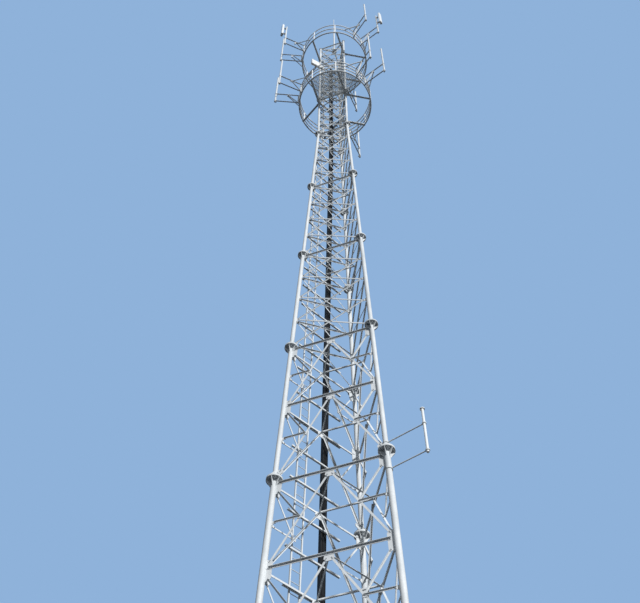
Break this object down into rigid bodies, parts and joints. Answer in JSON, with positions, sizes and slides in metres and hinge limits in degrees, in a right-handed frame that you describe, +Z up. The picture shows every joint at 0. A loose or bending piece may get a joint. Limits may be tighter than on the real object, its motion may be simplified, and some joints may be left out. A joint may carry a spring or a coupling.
{
  "type": "angle steel antenna tower, three-legged, 1:2 scale model",
  "caption": "Tapering three-legged lattice tower with pipe legs and angle bracing, ladder, cable tray, two ring platforms with antenna poles and a lightning rod; half-size model.",
  "frame": {"origin": "centre of the underside of the back leg's foot plate", "axes": "+Z up; the tower's axis stands at -Y from the back foot, the front face looks along -Y and +X is to its right"},
  "size_m": [2.554, 2.2837, 26.093],
  "materials": {
    "galvanised_steel": "matte",
    "steel_grating": "matte",
    "cable_jacket": "matte",
    "radome": "satin",
    "white_housing": "satin"
  },
  "bodies": {
    "root": {"legs_section_1": "galvanised_steel", "legs_section_2": "galvanised_steel", "legs_section_3": "galvanised_steel", "legs_section_4": "galvanised_steel", "legs_section_5": "galvanised_steel", "legs_section_6": "galvanised_steel", "legs_section_7": "galvanised_steel", "legs_head_lower": "galvanised_steel", "legs_head_upper": "galvanised_steel", "front_lower_bracing": "galvanised_steel", "front_upper_bracing": "galvanised_steel", "front_head_bracing": "galvanised_steel", "right_lower_bracing": "galvanised_steel", "right_upper_bracing": "galvanised_steel", "right_head_bracing": "galvanised_steel", "left_lower_bracing": "galvanised_steel", "left_upper_bracing": "galvanised_steel", "left_head_bracing": "galvanised_steel", "plan_bracing": "galvanised_steel", "carrier_bars": "galvanised_steel", "climbing_ladder": "galvanised_steel", "cable_tray": "galvanised_steel", "lower_ring": "galvanised_steel", "upper_ring": "galvanised_steel", "lower_railing": "galvanised_steel", "upper_railing": "galvanised_steel", "lower_pole_brackets": "galvanised_steel", "upper_pole_brackets": "galvanised_steel", "lower_antenna_poles": "galvanised_steel", "upper_antenna_poles": "galvanised_steel", "top_frame": "galvanised_steel", "lightning_rod": "galvanised_steel", "side_antenna_bracket": "galvanised_steel", "platform_floor": "steel_grating", "feeder_cables": "cable_jacket", "left_panel_antenna": "radome", "right_panel_antenna": "radome", "side_antenna": "radome", "long_rail_box": "white_housing", "short_rail_box": "white_housing"}
  },
  "joints": []
}
